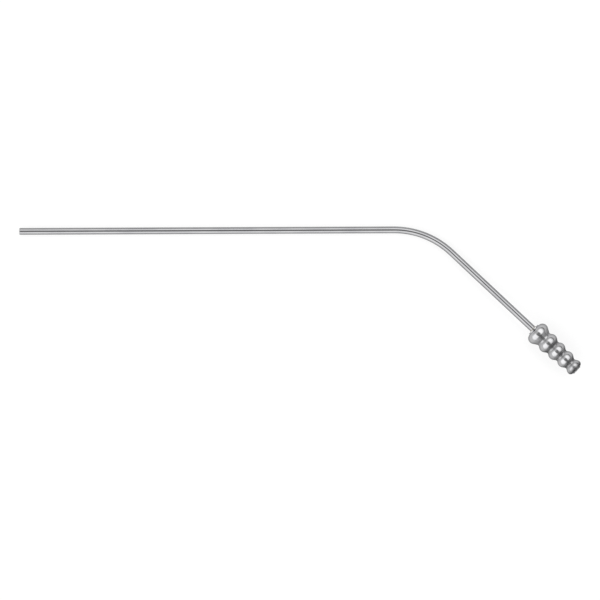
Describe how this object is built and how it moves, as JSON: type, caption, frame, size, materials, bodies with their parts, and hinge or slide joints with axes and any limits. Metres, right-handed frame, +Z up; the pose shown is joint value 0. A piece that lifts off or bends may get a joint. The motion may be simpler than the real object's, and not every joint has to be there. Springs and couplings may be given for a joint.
{
  "type": "suction tube",
  "caption": "Rigid angled suction tube: a long thin straight steel tube with a smooth bend and a ringed connector for the suction hose.",
  "frame": {"origin": "centre of the footprint's bounding box, on the floor the instrument lies on", "axes": "+X runs from the tip along the straight shaft, +Z is up. The leg after the bend turns toward -Y and leans up by 4.6 degrees, because the collar is wider than the tube."},
  "size_m": [0.2496, 0.0662, 0.0106],
  "materials": {
    "tube_steel": "polished",
    "connector_steel": "polished",
    "silver_solder": "satin"
  },
  "bodies": {
    "root": {"cannula_tube": "tube_steel", "hose_connector": "connector_steel", "solder_seam": "silver_solder"}
  },
  "joints": []
}
